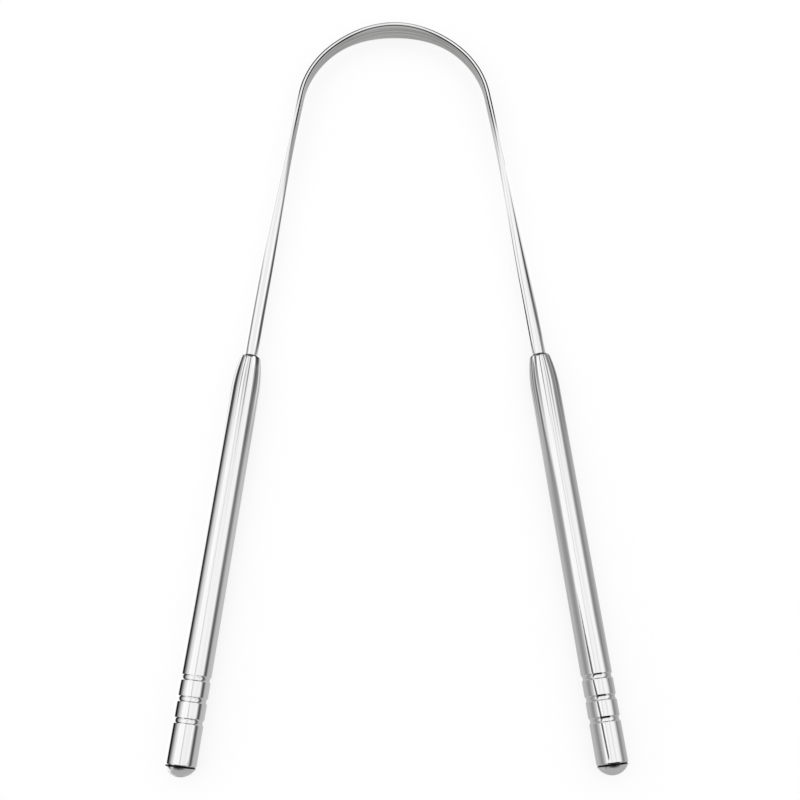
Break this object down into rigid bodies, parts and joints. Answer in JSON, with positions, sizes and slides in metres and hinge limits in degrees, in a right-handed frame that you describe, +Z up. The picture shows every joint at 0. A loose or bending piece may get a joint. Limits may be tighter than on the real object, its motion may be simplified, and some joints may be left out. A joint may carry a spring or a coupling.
{
  "type": "tongue scraper",
  "caption": "U-shaped steel tongue scraper: a round rod rolled flat, broad and thin over the crown, with a capped tube handle on each leg.",
  "frame": {"origin": "under the middle of the outline, on the surface that the two handle tubes rest on", "axes": "+Y along the middle line of the U towards the crown, +X towards the right handle as seen from above, +Z up, across the broad side of the crown"},
  "size_m": [0.0798, 0.1522, 0.0055],
  "materials": {
    "rolled_stainless_strip": "rolled and polished, with fine lines along the strip",
    "polished_stainless_tube": "bright polished, with faint draw lines along the tube",
    "turned_stainless_cap": "satin, with fine turning rings"
  },
  "bodies": {
    "root": {"scraper_strip": "rolled_stainless_strip", "left_handle_tube": "polished_stainless_tube", "right_handle_tube": "polished_stainless_tube", "left_end_cap": "turned_stainless_cap", "right_end_cap": "turned_stainless_cap"}
  },
  "joints": []
}
